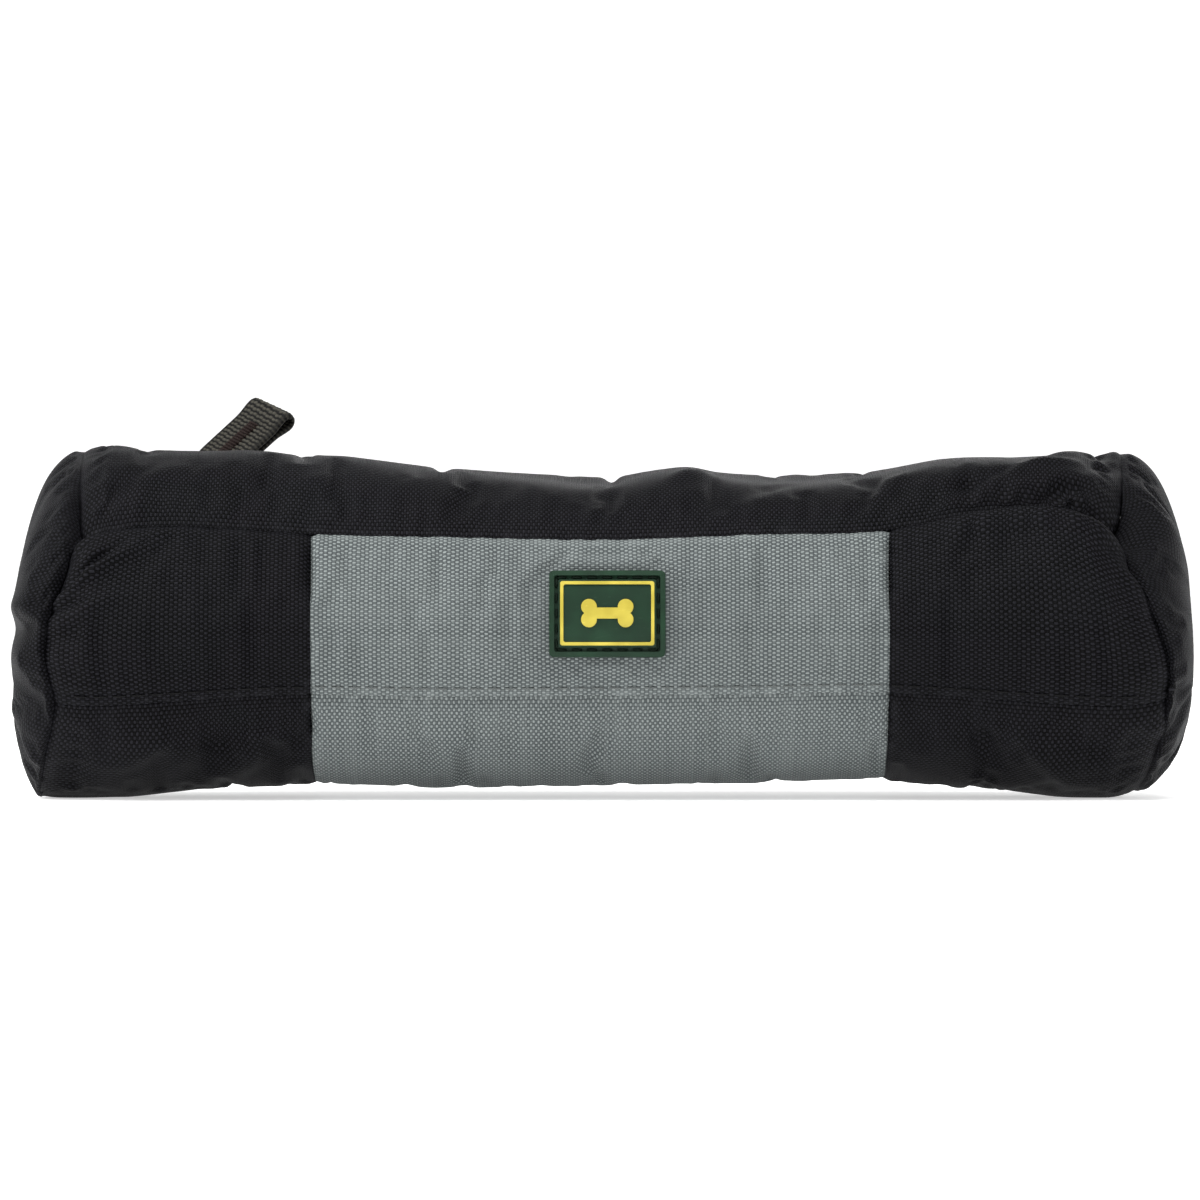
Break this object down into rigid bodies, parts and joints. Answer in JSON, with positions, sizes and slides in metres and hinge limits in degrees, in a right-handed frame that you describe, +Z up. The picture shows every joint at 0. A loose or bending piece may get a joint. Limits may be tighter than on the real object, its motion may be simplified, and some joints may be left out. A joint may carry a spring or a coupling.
{
  "type": "training bumper",
  "caption": "Soft fibre-filled fabric roll with round end caps, grey centre panel, stitched rubber label, zip along the upper back and a short webbing loop at the zip's end.",
  "frame": {"origin": "middle of the bounding box at the surface the roll lies on", "axes": "+X along the roll, towards the end where the zip closes; -Y is the front that carries the label; +Z up"},
  "size_m": [0.2056, 0.0736, 0.0711],
  "materials": {
    "black_fabric": "matte",
    "grey_fabric": "matte",
    "binding_tape": "matte",
    "liner_fabric": "matte",
    "fill_fibre": "matte",
    "zip_tape": "matte",
    "zip_coil": "satin",
    "zip_metal": "satin",
    "webbing": "matte",
    "thread": "matte",
    "label_rubber": "satin",
    "label_print": "satin",
    "label_thread": "matte"
  },
  "bodies": {
    "roll": {"end_cap_left": "black_fabric", "end_cap_right": "black_fabric", "top_panel": "black_fabric", "back_panel": "black_fabric", "front_band_left": "black_fabric", "front_band_centre": "grey_fabric", "front_band_right": "black_fabric", "base_band_left": "black_fabric", "base_band_centre": "grey_fabric", "base_band_right": "black_fabric", "cap_binding_left": "binding_tape", "cap_binding_right": "binding_tape", "inner_liner": "liner_fabric", "fibre_fill": "fill_fibre", "zip_tape_upper": "zip_tape", "zip_tape_lower": "zip_tape", "zip_teeth_upper": "zip_coil", "zip_teeth_lower": "zip_coil", "zip_bottom_stop": "zip_metal", "zip_top_stops": "zip_metal", "loop_tab": "webbing", "tab_stitching": "thread", "label_base": "label_rubber", "label_frame": "label_print", "label_emblem": "label_print", "label_stitching": "label_thread"},
    "slider": {"zip_slider": "zip_metal"},
    "pull": {"zip_pull": "zip_metal"},
    "loop": {"carry_loop": "webbing", "loop_stitching": "thread"}
  },
  "joints": [
    {"name": "zip_slide", "type": "slide", "parent": "roll", "child": "slider", "axis": [-1, 0, 0], "range_m": [0, 0.1103], "deforming": ["zip_teeth_upper", "zip_teeth_lower", "zip_tape_upper", "zip_tape_lower"]},
    {"name": "pull_turn", "type": "hinge", "parent": "slider", "child": "pull", "pos_m": [0.0666, 0.0232, 0.05084], "axis": [0, -0.6157, 0.788], "range_deg": [0, 178]},
    {"name": "loop_flex", "type": "hinge", "parent": "roll", "child": "loop", "pos_m": [-0.079, 0.0217, 0.04967], "axis": [0, 0.6157, -0.788], "range_deg": [-75, 20], "stiffness_Nm_per_rad": 0.01}
  ]
}
